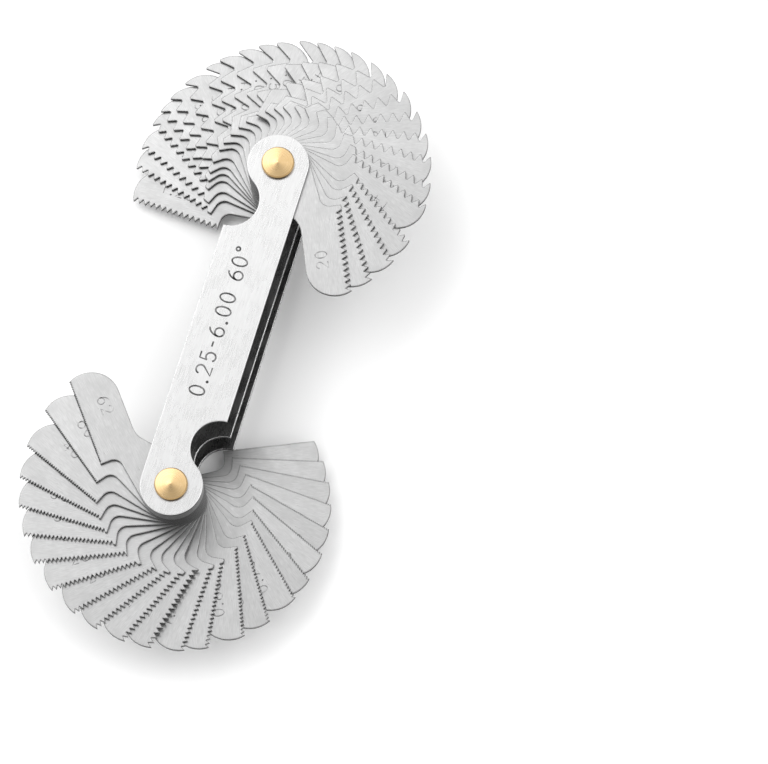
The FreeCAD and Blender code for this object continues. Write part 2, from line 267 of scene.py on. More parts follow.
class SurfaceEffects:
    """The shader node groups that several finishes share.

    A band is the pair of values between which a mask goes from none to full.
    """

    STREAK_BAND = (0.32, 0.68)
    BLOTCH_BAND = (0.38, 0.72)
    SCRATCH_BAND = (0.72, 0.78)
    SCRATCH_STRETCH = (60.0, 1500.0, 60.0)
    SCRATCH_TURNS_AND_SHIFTS = ((0.5, 0.0), (2.1, 0.3))
    # Cut walls: the finishes give them a dark grey that is partly duller sheared steel, partly painted shade.
    WALL_BAND = (0.75, 0.45)
    # Edge band: where the finishes paint shade along the edges (leaves, front plate) and a highlight rim
    # (rear and middle plates).
    EDGE_BAND = (0.995, 0.85)

    def __init__(self) -> None:
        """Build each group once."""
        self.grain = self._grain()
        self.handling = self._handling()
        self.sheared = self._sheared()

    def _grain(self) -> bpy.types.NodeTree:
        """Fine straight grinding marks, as streaks along the pattern's X.

        Returns:
            The group, which puts out a streak mask and a height.
        """
        graph = new_group(
            "ground_grain",
            {"Pattern": (VECTOR, None), "Streaks per mm": (NUMBER, 9.0), "Length": (NUMBER, 14.0)},
            {"Streaks": NUMBER, "Height": NUMBER},
        )
        source, result = graph.tree.nodes["in"], graph.tree.nodes["out"]
        across = graph.math("MULTIPLY", source.outputs["Streaks per mm"], 1.0 / MM)
        along = graph.math("DIVIDE", across, source.outputs["Length"])
        scale = graph.node("ShaderNodeCombineXYZ")
        graph.feed(scale, X=along, Y=across, Z=across)
        stretched = graph.node("ShaderNodeVectorMath", operation="MULTIPLY")
        graph.link(source.outputs["Pattern"], stretched.inputs[0])
        graph.link(scale.outputs[0], stretched.inputs[1])
        noise = graph.node("ShaderNodeTexNoise")
        graph.feed(noise, Vector=stretched.outputs[0], Scale=1.0, Detail=3.0, Roughness=0.6)
        graph.link(graph.ramp(noise.outputs["Fac"], *self.STREAK_BAND), result.inputs["Streaks"])
        graph.link(noise.outputs["Fac"], result.inputs["Height"])
        return graph.tree

    def _handling(self) -> bpy.types.NodeTree:
        """Marks of use: soft blotches of dulled steel and fine scattered scratches.

        Returns:
            The group, which puts out a blotch mask and a scratch mask.
        """
        graph = new_group(
            "handling_marks",
            {"Pattern": (VECTOR, None), "Blotch Size": (NUMBER, 5 * MM), "Scratches": (NUMBER, 0.5)},
            {"Blotches": NUMBER, "Scratches": NUMBER},
        )
        source, result = graph.tree.nodes["in"], graph.tree.nodes["out"]
        blotch_scale = graph.math("DIVIDE", 1.0, source.outputs["Blotch Size"])
        blotch = graph.node("ShaderNodeTexNoise")
        graph.feed(blotch, Vector=source.outputs["Pattern"], Scale=blotch_scale, Detail=4.0,
                   Roughness=0.62)
        graph.link(graph.ramp(blotch.outputs["Fac"], *self.BLOTCH_BAND), result.inputs["Blotches"])
        lines = []
        for turn, shift in self.SCRATCH_TURNS_AND_SHIFTS:
            bend = graph.node("ShaderNodeMapping")
            graph.feed(bend, Vector=source.outputs["Pattern"], Rotation=(0.0, 0.0, turn),
                       Location=(shift, 0.0, 0.0))
            stretch = graph.node("ShaderNodeVectorMath", operation="MULTIPLY")
            stretch.inputs[1].default_value = self.SCRATCH_STRETCH
            graph.link(bend.outputs[0], stretch.inputs[0])
            thin = graph.node("ShaderNodeTexNoise")
            graph.feed(thin, Vector=stretch.outputs[0], Scale=1.0, Detail=1.0)
            lines.append(graph.ramp(thin.outputs["Fac"], *self.SCRATCH_BAND))
        both = graph.math("MAXIMUM", *lines)
        scratches = graph.math("MULTIPLY", both, source.outputs["Scratches"], clamp=True)
        graph.link(scratches, result.inputs["Scratches"])
        return graph.tree

    def _sheared(self) -> bpy.types.NodeTree:
        """Where a stamped piece shows its cut wall, and where its face meets that wall.

        Returns:
            The group, which puts out masks of the cut walls, darkened partly with painted shade, and of a
            band along each edge of painted shade or painted highlight, how far a face looks to the front (1)
            or the back (-1), and a normal rounded at the edges.
        """
        graph = new_group(
            "sheared_walls",
            {"Edge Radius": (NUMBER, 0.08 * MM)},
            {"Walls": NUMBER, "Edges": NUMBER, "Facing": NUMBER, "Rounded": VECTOR},
        )
        source, result = graph.tree.nodes["in"], graph.tree.nodes["out"]
        place = graph.node("ShaderNodeNewGeometry")
        own = graph.node("ShaderNodeTexCoord")
        split = graph.node("ShaderNodeSeparateXYZ")
        graph.link(own.outputs["Normal"], split.inputs[0])
        graph.link(split.outputs["Z"], result.inputs["Facing"])
        upright = graph.math("ABSOLUTE", split.outputs["Z"])
        graph.link(graph.ramp(upright, *self.WALL_BAND), result.inputs["Walls"])
        rounded = graph.node("ShaderNodeBevel", samples=4)
        graph.link(source.outputs["Edge Radius"], rounded.inputs["Radius"])
        graph.link(rounded.outputs[0], result.inputs["Rounded"])
        match = graph.node("ShaderNodeVectorMath", operation="DOT_PRODUCT")
        graph.link(rounded.outputs[0], match.inputs[0])
        graph.link(place.outputs["Normal"], match.inputs[1])
        graph.link(graph.ramp(match.outputs["Value"], *self.EDGE_BAND), result.inputs["Edges"])
        return graph.tree


# ---------------------------------------------------------------- finishes

# Painted shade: grey of the faces that look into the case, as a share of the face grey.
PAINTED_CASE_SHADE = 0.3
BLOTCH_TONE = 0.72
SCRATCH_TONE = 1.12
BLOTCH_ROUGHNESS = 0.10
STREAK_ROUGHNESS = 0.05


class Inner(Enum):
    """Which flat faces of a plate look into the case and take painted shade, as a Math operation and its
    second number.
    """

    FRONT = ("MULTIPLY", 1.0)
    BACK = ("MULTIPLY", -1.0)
    BOTH = ("ABSOLUTE", 0.0)


@dataclass(frozen=True)
class SteelFinish:
    """Ground and stamped steel, with dark cut walls that are partly duller steel and partly painted shade,
    and a band along each edge that is painted shade where darker than the face and a painted highlight where
    lighter.

    Attributes:
        name: The finish's name, which its materials start with.
        slot: The record's material slot.
        face: Grey level of the ground faces.
        wall: Grey level of the cut walls: partly the duller steel of a sheared wall, partly painted shade.
        edge: Grey level of the band along each edge: painted shade where darker than the face, a painted
            highlight where lighter.
        roughness: Roughness of the ground faces.
        wall_roughness: Roughness of the sheared walls.
        streaks_per_mm: How fine the grinding marks are.
        streak_contrast: How far the grinding marks darken the face.
        blotch_contrast: How far handling dulls the face.
        scratches: How many scratches show.
        relief: Height of the grinding marks in metres.
        edge_radius: Width of the painted band along each edge.
    """

    name: str
    slot: str
    face: float
    wall: float
    edge: float
    roughness: float
    wall_roughness: float
    streaks_per_mm: float
    streak_contrast: float
    blotch_contrast: float
    scratches: float
    relief: float
    edge_radius: float

    def material(self, effects: SurfaceEffects, label: str, turn: float, centre: Vector,
                 tone: float = 1.0, inner: Inner | None = None) -> bpy.types.Material:
        """Make the finish for one piece.

        Args:
            effects: The shared shader groups.
            label: The piece's name, which ends the material's name.
            turn: Direction of the grinding marks, in radians from +X.
            centre: The point that the pattern is centred on.
            tone: Factor on the face's grey level.
            inner: Which flat faces look into the case and take painted shade, if any.

        Returns:
            The material.
        """
        material = bpy.data.materials.new(f"{self.name}_{label}")
        material.use_nodes = True
        graph = NodeGraph(material.node_tree)
        shader = material.node_tree.nodes["Principled BSDF"]
        own = graph.node("ShaderNodeTexCoord")
        pattern = graph.node("ShaderNodeMapping", vector_type="TEXTURE")
        graph.feed(pattern, Vector=own.outputs["Object"], Location=centre, Rotation=(0.0, 0.0, turn))
        grain = graph.node("ShaderNodeGroup", node_tree=effects.grain)
        graph.feed(grain, Pattern=pattern.outputs[0], Streaks_per_mm=self.streaks_per_mm)
        marks = graph.node("ShaderNodeGroup", node_tree=effects.handling)
        graph.feed(marks, Pattern=pattern.outputs[0], Scratches=self.scratches)
        sheared = graph.node("ShaderNodeGroup", node_tree=effects.sheared)
        graph.feed(sheared, Edge_Radius=self.edge_radius)

        level = self.face * tone
        colour = graph.blend(grain.outputs["Streaks"], grey(level * (1 - self.streak_contrast)), grey(level))
        dulling = graph.math("MULTIPLY", marks.outputs["Blotches"], self.blotch_contrast)
        colour = graph.blend(dulling, colour, grey(level * BLOTCH_TONE))
        colour = graph.blend(marks.outputs["Scratches"], colour, grey(min(1.0, level * SCRATCH_TONE)))
        # Painted shade: the faces that look into the case are darkened, standing in for the shade between the
        # plates.
        if inner:
            case_shade_mask = graph.math(inner.value[0], sheared.outputs["Facing"], inner.value[1], clamp=True)
            colour = graph.blend(case_shade_mask, colour, grey(self.face * PAINTED_CASE_SHADE))
        # Painted shade along the edges where the edge grey is darker than the face (leaves, front plate), a
        # painted highlight rim where it is lighter (rear and middle plates).
        colour = graph.blend(sheared.outputs["Edges"], colour, grey(self.edge))
        # Cut walls take a dark grey: partly duller sheared steel, partly painted shade.
        colour = graph.blend(sheared.outputs["Walls"], colour, grey(self.wall))
        graph.link(colour, shader.inputs["Base Color"])

        dull = graph.scaled_sum(marks.outputs["Blotches"], BLOTCH_ROUGHNESS, self.roughness)
        rough = graph.scaled_sum(grain.outputs["Streaks"], STREAK_ROUGHNESS, dull)
        surface = graph.node("ShaderNodeMix", data_type="FLOAT")
        graph.link(sheared.outputs["Walls"], surface.inputs[0])
        graph.link(rough, surface.inputs[2])
        surface.inputs[3].default_value = self.wall_roughness
        graph.link(surface.outputs[0], shader.inputs["Roughness"])

        relief = graph.node("ShaderNodeBump")
        graph.feed(relief, Height=grain.outputs["Height"], Distance=self.relief, Strength=1.0,
                   Normal=sheared.outputs["Rounded"])
        graph.link(relief.outputs[0], shader.inputs["Normal"])
        shader.inputs["Metallic"].default_value = 1.0
        return material


@dataclass(frozen=True)
class TurnedBrassFinish:
    """Brass faced on a lathe, with fine concentric tool marks.

    Attributes:
        name: The finish's name.
        slot: The record's material slot.
        bright: Colour on the crests of the tool marks.
        deep: Colour in the grooves of the tool marks.
        rim: Colour of the bevel and the wall round a head, a dark brown that is painted shade.
        rings_per_mm: Tool marks per millimetre of radius.
        roughness: Roughness of the face.
        relief: Height of the tool marks in metres.
        crown: Slope of the slightly coned face.
        anisotropy: How far the highlight is drawn out across the tool marks.
    """

    WAVE_SHARE: ClassVar[float] = 0.35
    UNEVEN_PER_RING: ClassVar[float] = 2.2
    RIDGE_BAND: ClassVar[tuple[float, float]] = (0.35, 0.65)
    TARNISH_BAND: ClassVar[tuple[float, float]] = (0.3, 0.7)
    RIM_BAND: ClassVar[tuple[float, float]] = (0.95, 0.6)

    name: str
    slot: str
    bright: tuple[float, float, float, float]
    deep: tuple[float, float, float, float]
    rim: tuple[float, float, float, float]
    rings_per_mm: float
    roughness: float
    relief: float
    crown: float
    anisotropy: float

    def material(self, effects: SurfaceEffects, label: str, centre: Vector) -> bpy.types.Material:
        """Make the finish round one axis.

        Args:
            effects: The shared shader groups.
            label: The piece's name, which ends the material's name.
            centre: A point on the axis that the tool marks run round.

        Returns:
            The material.
        """
        material = bpy.data.materials.new(f"{self.name}_{label}")
        material.use_nodes = True
        graph = NodeGraph(material.node_tree)
        shader = material.node_tree.nodes["Principled BSDF"]
        own = graph.node("ShaderNodeTexCoord")
        pattern = graph.node("ShaderNodeMapping", vector_type="TEXTURE")
        graph.feed(pattern, Vector=own.outputs["Object"], Location=centre)
        split = graph.node("ShaderNodeSeparateXYZ")
        graph.link(pattern.outputs[0], split.inputs[0])
        flat = graph.node("ShaderNodeCombineXYZ")
        graph.feed(flat, X=split.outputs["X"], Y=split.outputs["Y"])
        radius = graph.node("ShaderNodeVectorMath", operation="LENGTH")
        graph.link(flat.outputs[0], radius.inputs[0])
        phase = graph.math("MULTIPLY", radius.outputs["Value"], self.rings_per_mm / MM * math.tau)
        wave = graph.math("SINE", phase)
        uneven = graph.node("ShaderNodeTexNoise", noise_dimensions="1D")
        unevenness = self.UNEVEN_PER_RING * self.rings_per_mm / MM
        ring_number = graph.math("MULTIPLY", radius.outputs["Value"], unevenness)
        graph.feed(uneven, W=ring_number, Scale=1.0, Detail=2.0)
        height = graph.scaled_sum(wave, self.WAVE_SHARE, uneven.outputs["Fac"])
        tarnish = graph.node("ShaderNodeTexNoise")
        graph.feed(tarnish, Vector=pattern.outputs[0], Scale=0.7 / MM, Detail=3.0)
        ridges = graph.ramp(uneven.outputs["Fac"], *self.RIDGE_BAND)
        clean = graph.ramp(tarnish.outputs["Fac"], *self.TARNISH_BAND, 0.6, 1.0)
        shade = graph.math("MULTIPLY", ridges, clean)
        faced = graph.blend(shade, self.deep, self.bright)
        sheared = graph.node("ShaderNodeGroup", node_tree=effects.sheared)
        # Painted shade: the bevel and the wall round a head take the dark rim colour.
        rim = graph.ramp(graph.math("ABSOLUTE", sheared.outputs["Facing"]), *self.RIM_BAND)
        graph.link(graph.blend(rim, faced, self.rim), shader.inputs["Base Color"])
        rough = graph.ramp(tarnish.outputs["Fac"], *self.TARNISH_BAND, self.roughness * 1.25, self.roughness)
        graph.link(rough, shader.inputs["Roughness"])
        fall = graph.math("MULTIPLY", radius.outputs["Value"], -self.crown)
        coned = graph.scaled_sum(height, self.relief, fall)
        relief = graph.node("ShaderNodeBump")
        graph.feed(relief, Height=coned, Distance=1.0, Strength=1.0)
        graph.link(relief.outputs[0], shader.inputs["Normal"])
        across = graph.node("ShaderNodeVectorMath", operation="CROSS_PRODUCT")
        across.inputs[0].default_value = (0.0, 0.0, 1.0)
        graph.link(flat.outputs[0], across.inputs[1])
        unit = graph.node("ShaderNodeVectorMath", operation="NORMALIZE")
        graph.link(across.outputs[0], unit.inputs[0])
        graph.link(unit.outputs[0], shader.inputs["Tangent"])
        shader.inputs["Anisotropic"].default_value = self.anisotropy
        shader.inputs["Metallic"].default_value = 1.0
        return material


@dataclass(frozen=True)
class EngravedFinish:
    """The floor of a shallow stamped or engraved stroke: darker, rougher steel.

    Attributes:
        name: The finish's name.
        slot: The record's material slot.
        dark: Grey level in the stroke.
        light: Grey level where the stroke is worn.
        roughness: Roughness of the stroke.
    """

    name: str
    slot: str
    dark: float
    light: float
    roughness: float

    def material(self) -> bpy.types.Material:
        """Make the finish.

        Returns:
            The material.
        """
        material = bpy.data.materials.new(self.name)
        material.use_nodes = True
        graph = NodeGraph(material.node_tree)
        shader = material.node_tree.nodes["Principled BSDF"]
        own = graph.node("ShaderNodeTexCoord")
        worn = graph.node("ShaderNodeTexNoise")
        graph.feed(worn, Vector=own.outputs["Object"], Scale=1.1 / MM, Detail=4.0)
        bare = graph.ramp(worn.outputs["Fac"], 0.38, 0.66)
        graph.link(graph.blend(bare, grey(self.dark), grey(self.light)), shader.inputs["Base Color"])
        rough = graph.ramp(worn.outputs["Fac"], 0.3, 0.7, self.roughness, self.roughness * 0.8)
        graph.link(rough, shader.inputs["Roughness"])
        shader.inputs["Metallic"].default_value = 1.0
        return material


# Leaves: the near-black band along each edge is painted shade; the very dark walls are partly duller sheared
# steel, partly painted shade.
LEAF_STEEL = SteelFinish(
    "leaf_steel", "leaf_steel", face=0.62, wall=0.09, edge=0.05, roughness=0.27, wall_roughness=0.5,
    streaks_per_mm=7.0, streak_contrast=0.24, blotch_contrast=0.9, scratches=0.35, relief=0.0015 * MM,
    edge_radius=0.34 * MM,
)
# Rear and middle plates: the light band along each edge is a painted highlight rim.
PLATE_STEEL = SteelFinish(
    "plate_steel", "plate_steel", face=0.72, wall=0.10, edge=0.95, roughness=0.22, wall_roughness=0.45,
    streaks_per_mm=6.0, streak_contrast=0.10, blotch_contrast=0.2, scratches=0.4, relief=0.0015 * MM,
    edge_radius=0.3 * MM,
)
# Front plate: its darker band along each edge is painted shade.
FRONT_STEEL = replace(PLATE_STEEL, name="front_plate_steel", edge=0.5, edge_radius=0.12 * MM)
WASHER_STEEL = SteelFinish(
    "washer_steel", "washer_steel", face=0.6, wall=0.22, edge=0.6, roughness=0.4, wall_roughness=0.42,
    streaks_per_mm=6.0, streak_contrast=0.2, blotch_contrast=0.3, scratches=0.2, relief=0.0015 * MM,
    edge_radius=0.1 * MM,
)
# Rivet heads: the dark brown rim colour is painted shade on each head's bevel and wall.
RIVET_BRASS = TurnedBrassFinish(
    "rivet_brass", "rivet_brass", bright=(0.79, 0.585, 0.34, 1.0), deep=(0.62, 0.42, 0.19, 1.0),
    rim=(0.24, 0.15, 0.06, 1.0), rings_per_mm=4.5, roughness=0.26, relief=0.001 * MM, crown=0.16,
    anisotropy=0.6,
)
LEAF_STAMPING = EngravedFinish("leaf_stamping", "leaf_steel", dark=0.22, light=0.5, roughness=0.5)
CASE_ENGRAVING = EngravedFinish("case_engraving", "plate_steel", dark=0.06, light=0.22, roughness=0.5)


# ---------------------------------------------------------------- numbers

class StrokeDigits:
    """Plain single-stroke figures in a cell one high, as a marking tool draws them."""

    WIDE = 0.58
    GAP = 0.36
    STEPS_PER_TURN = 22

    def __init__(self) -> None:
        """Work out each figure's strokes and width."""
        wide, middle = self.WIDE, self.WIDE / 2
        bowl = self.bowl
        six = [bowl(middle, 0.3, middle, 0.3, 0, 360), bowl(wide, 0.3, wide, 0.7, 180, 100)]
        self.strokes = {
            "0": [bowl(middle, 0.5, middle, 0.5, 0, 360)],
            "1": [[(0.12, 0.78), (0.32, 1.0), (0.32, 0.0)]],
            "2": [bowl(middle, 0.71, middle, 0.29, 170, -38) + [(0.0, 0.0), (wide, 0.0)]],
            "3": [bowl(middle, 0.75, 0.25, 0.25, 150, -90), bowl(middle, 0.25, middle, 0.25, 90, -150)],
            "4": [[(0.42, 0.0), (0.42, 1.0), (0.0, 0.3), (wide, 0.3)]],
            "5": [[(wide * 0.92, 1.0), (0.1, 1.0), (0.05, 0.54)]
                  + bowl(middle, 0.32, middle, 0.32, 138, -150)],
            "6": six,
            "7": [[(0.0, 1.0), (wide, 1.0), (0.18, 0.0)]],
            "8": [bowl(middle, 0.75, 0.24, 0.25, 0, 360), bowl(middle, 0.25, middle, 0.25, 0, 360)],
            "9": [[(wide - x, 1.0 - y) for x, y in stroke] for stroke in six],
            ".": [bowl(0.06, 0.04, 0.04, 0.04, 0, 360)],
            "-": [[(0.04, 0.48), (0.4, 0.48)]],
            "°": [bowl(0.16, 0.84, 0.13, 0.13, 0, 360)],
            " ": [],
        }
        self.widths = {".": 0.12, "-": 0.44, "°": 0.32, " ": 0.3}

    def bowl(self, x: float, y: float, across: float, up: float, start: float,
             end: float) -> list[tuple[float, float]]:
        """Points along part of an oval.

        Args:
            x: Centre of the oval.
            y: Centre of the oval.
            across: Half its width.
            up: Half its height.
            start: Direction of the first point, in degrees.
            end: Direction of the last point, in degrees.

        Returns:
            The points, in order.
        """
        steps = max(4, round(abs(end - start) / 360 * self.STEPS_PER_TURN))
        turns = [math.radians(start + (end - start) * step / steps) for step in range(steps + 1)]
        return [(x + across * math.cos(turn), y + up * math.sin(turn)) for turn in turns]

    def lay_out(self, text: str) -> tuple[list[list[tuple[float, float]]], float]:
        """Set a line of figures.

        Args:
            text: The figures.

        Returns:
            The strokes in order, and the line's width.
        """
        strokes, cursor = [], 0.0
        for figure in text:
            strokes += [[(cursor + x, y) for x, y in stroke] for stroke in self.strokes[figure]]
            cursor += self.widths.get(figure, self.WIDE) + self.GAP
        return strokes, cursor - self.GAP


class StrokeSweep:
    """Geometry Nodes tree that cuts a flat ribbon along every stroke of a number."""

    SAME_PLACE = 0.001 * MM

    def __init__(self) -> None:
        """Build the tree, with its sizes and material as named inputs."""
        tree = bpy.data.node_groups.new("stroke_ribbons", "GeometryNodeTree")
        tree.interface.new_socket("Strokes", in_out="INPUT", socket_type="NodeSocketGeometry")
        for label in ("Stroke Width", "Stroke Depth"):
            tree.interface.new_socket(label, in_out="INPUT", socket_type=NUMBER)
        tree.interface.new_socket("Finish", in_out="INPUT", socket_type="NodeSocketMaterial")
        tree.interface.new_socket("Ribbons", in_out="OUTPUT", socket_type="NodeSocketGeometry")
        graph = NodeGraph(tree)
        source, result = graph.node("NodeGroupInput"), graph.node("NodeGroupOutput")
        upright = graph.node("GeometryNodeSetCurveNormal")
        upright.mode = "Z_UP"
        section = graph.node("GeometryNodeCurvePrimitiveQuadrilateral", mode="RECTANGLE")
        graph.feed(section, Width=source.outputs["Stroke Width"], Height=source.outputs["Stroke Depth"])
        swept = graph.node("GeometryNodeCurveToMesh")
        painted = graph.node("GeometryNodeSetMaterial")
        real = graph.node("GeometryNodeRealizeInstances")
        graph.link(source.outputs["Strokes"], upright.inputs["Curve"])
        graph.feed(swept, Curve=upright.outputs[0], Profile_Curve=section.outputs[0], Fill_Caps=True)
        graph.link(swept.outputs[0], real.inputs[0])
        graph.feed(painted, Geometry=real.outputs[0], Material=source.outputs["Finish"])
        graph.link(painted.outputs[0], result.inputs[0])
        self.tree = tree

    def cut(self, name: str, strokes: list[list[Vector]], width: float, depth: float,
            finish: bpy.types.Material) -> bpy.types.Object:
        """Make a number's ribbons as a plain mesh.

        Args:
            name: The piece's name.
            strokes: Each stroke's points, in the part's frame.
            width: Width of a stroke.
            depth: Thickness of the ribbon.
            finish: The ribbon's material.

        Returns:
            The piece.
        """
        curve = bpy.data.curves.new(f"{name}_strokes", "CURVE")
        curve.dimensions = "3D"
        for stroke in strokes:
            closed = (stroke[0] - stroke[-1]).length < self.SAME_PLACE
            points = stroke[:-1] if closed else stroke
            spline = curve.splines.new("POLY")
            spline.points.add(len(points) - 1)
            for point, place in zip(spline.points, points):
                point.co = (*place, 1.0)
            spline.use_cyclic_u = closed
        drawn = bpy.data.objects.new(f"{name}_strokes", curve)
        bpy.context.scene.collection.objects.link(drawn)
        modifier = drawn.modifiers.new("ribbons", "NODES")
        modifier.node_group = self.tree
        values = {"Stroke Width": width, "Stroke Depth": depth, "Finish": finish}
        for item in self.tree.interface.items_tree:
            if item.in_out == "INPUT" and item.name in values:
                modifier[item.identifier] = values[item.name]
        shape = drawn.evaluated_get(bpy.context.evaluated_depsgraph_get())
        mesh = bpy.data.meshes.new_from_object(shape)
        mesh.name = name
        piece = bpy.data.objects.new(name, mesh)
        bpy.context.scene.collection.objects.link(piece)
        bpy.data.objects.remove(drawn)
        return piece


@dataclass(frozen=True)
class Marking:
    """How a line of figures is marked on a flat face.

    Attributes:
        height: Height of the figures.
        width: Width of a stroke.
        proud: How far the ribbon stands above the face.
        sunk: How far the ribbon reaches below the face.
    """

    height: float
    width: float
    proud: float
    sunk: float


class Marker:
    """Marks lines of figures on flat faces."""

    def __init__(self) -> None:
        """Get the figures and the ribbon tree ready."""
        self.digits = StrokeDigits()
        self.sweep = StrokeSweep()

    def mark(self, name: str, text: str, place: Matrix, style: Marking,
             finish: bpy.types.Material) -> bpy.types.Object:
        """Mark a line of figures.

        Args:
            name: The piece's name.
            text: The figures.
            place: Where the line's middle lies, its X along the line and its Z out of the face.
            style: The marking's sizes.
            finish: The marking's material.

        Returns:
            The piece.
        """
        strokes, length = self.digits.lay_out(text)
        rise = (style.proud - style.sunk) / 2
        scale = Matrix.Diagonal((style.height, style.height, 1.0, 1.0))
        to_face = place @ Matrix.Translation((0.0, 0.0, rise)) @ scale
        placed = [[to_face @ Vector((x - length / 2, y - 0.5, 0.0)) for x, y in stroke] for stroke in strokes]
        return self.sweep.cut(name, placed, style.width, style.proud + style.sunk, finish)


# ---------------------------------------------------------------- sub-assemblies

@dataclass
class Leaf:
    """One stamped leaf: its ground steel and its pitch number.

    Attributes:
        node: The leaf's node and body.
        pivot: Its rivet's axis, at the height of its joint.
        opening: How far it stands open from the folded position, in radians.
        on_upper_rivet: Whether it swings on the upper rivet.
        fold_turn: Tooth line to the case's centre line when folded, in radians.
        number_reach: Rivet's axis to the number's middle, along the tooth line.
        number_offset: Rivet's axis to the number's middle, across the tooth line.
    """

    node: str
    pivot: Vector
    opening: float
    on_upper_rivet: bool
    fold_turn: float = math.radians(22.0)
    number_reach: float = 21.6 * MM
    number_offset: float = 6.6 * MM

    FIGURES: ClassVar[Marking] = Marking(height=2.4 * MM, width=0.22 * MM, proud=0.012 * MM, sunk=0.012 * MM)
    GRAIN_ERROR: ClassVar[float] = 0.12
    TONES: ClassVar[tuple[float, float]] = (0.95, 1.03)
    REACH_ERROR: ClassVar[float] = 0.6
    OFFSET_ERROR: ClassVar[float] = 0.3
    SKEW_ERROR: ClassVar[float] = 3.0

    @property
    def turn(self) -> float:
        """Direction of the tooth line at rest, in radians."""
        folded = -math.pi / 2 if self.on_upper_rivet else math.pi / 2
        return folded - self.fold_turn + self.opening

    @property
    def number(self) -> str:
        """The leaf's pitch or threads per inch, as plain figures."""
        return ".".join(self.node.split("_")[1:-1])

    def dress(self, effects: SurfaceEffects, chance: random.Random) -> None:
        """Give the leaf its ground steel.

        Args:
            effects: The shared shader groups.
            chance: Source of each leaf's small difference in grain and tone.
        """
        grain_turn = self.turn + chance.uniform(-self.GRAIN_ERROR, self.GRAIN_ERROR)
        steel = LEAF_STEEL.material(effects, self.node, grain_turn, self.pivot,
                                    tone=chance.uniform(*self.TONES))
        dress_node(self.node, steel)

    def stamp(self, marker: Marker, finish: bpy.types.Material, chance: random.Random) -> bpy.types.Object:
        """Stamp the leaf's number on its front face.

        Args:
            marker: The marker.
            finish: The marking's material.
            chance: Source of each stamp's small error.

        Returns:
            The number.
        """
        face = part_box(self.node)[1].z
        hub = Vector((self.pivot.x, self.pivot.y, face))
        reach = self.number_reach + chance.uniform(-self.REACH_ERROR, self.REACH_ERROR) * MM
        offset = self.number_offset + chance.uniform(-self.OFFSET_ERROR, self.OFFSET_ERROR) * MM
        skew = math.pi + math.radians(chance.uniform(-self.SKEW_ERROR, self.SKEW_ERROR))
        place = (Matrix.Translation(hub) @ Matrix.Rotation(self.turn, 4, "Z")
                 @ Matrix.Translation((reach, offset, 0.0)) @ Matrix.Rotation(skew, 4, "Z"))
        piece = marker.mark(f"{self.node}_number", self.number, place, self.FIGURES, finish)
        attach(piece, self.node)
        return piece


class LeafFans:
    """All the leaves on both rivets."""

    def __init__(self, frame: dict) -> None:
        """Read the leaves from the frame's joints.

        Args:
            frame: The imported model's bodies, nodes, joints and record.
        """
        middle = (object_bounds()[0].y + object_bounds()[1].y) / 2
        self.leaves = []
        for joint in frame["joints"]:
            pivot = Vector(joint["pos_m"])
            opening = -math.radians(joint["range_deg"][0])
            self.leaves.append(Leaf(joint["child"], pivot, opening, on_upper_rivet=pivot.y > middle))

    def build(self, effects: SurfaceEffects, marker: Marker) -> None:
        """Dress and number every leaf.

        Args:
            effects: The shared shader groups.
            marker: The marker.
        """
        chance = random.Random(SEED)
        stamping = LEAF_STAMPING.material()
        for leaf in self.leaves:
            leaf.dress(effects, chance)
            piece = leaf.stamp(marker, stamping, chance)
            log.info("leaf %s, numbered %s by %s", leaf.node, leaf.number, piece.name)


@dataclass
class Case:
    """The three case plates, with the gauge's range engraved on the front one.

    Attributes:
        plates: The plates' nodes, which faces of each look into the case, and each one's finish.
        body: The body that they belong to.
        text: Figures on the front plate.
        text_offset: Case's centre line to the figures' middle.
    """

    plates: tuple[tuple[str, Inner, SteelFinish], ...] = (
        ("rear_plate", Inner.FRONT, PLATE_STEEL),
        ("middle_plate", Inner.BOTH, PLATE_STEEL),
        ("front_plate", Inner.BACK, FRONT_STEEL),
    )
    body: str = "case"
    text: str = "0.25-6.00 60°"
    text_offset: float = -1.1 * MM

    FIGURES: ClassVar[Marking] = Marking(height=3.2 * MM, width=0.36 * MM, proud=0.012 * MM, sunk=0.02 * MM)

    def build(self, effects: SurfaceEffects, marker: Marker) -> None:
        """Dress the plates and the washers, and engrave the front plate.

        Args:
            effects: The shared shader groups.
            marker: The marker.
        """
        low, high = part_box("front_plate")
        centre = (low + high) / 2
        for plate, inner, finish in self.plates:
            steel = finish.material(effects, plate, math.pi / 2, centre, inner=inner)
            dress_node(plate, steel)
            log.info("plate %s", plate)
        dress_node("spacer_washers", WASHER_STEEL.material(effects, "washers", 0.0, Vector()))
        middle = Matrix.Translation((centre.x + self.text_offset, centre.y, high.z))
        place = middle @ Matrix.Rotation(math.pi / 2, 4, "Z")
        piece = marker.mark("case_range", self.text, place, self.FIGURES, CASE_ENGRAVING.material())
        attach(piece, self.body)
        log.info("engraving %s", piece.name)


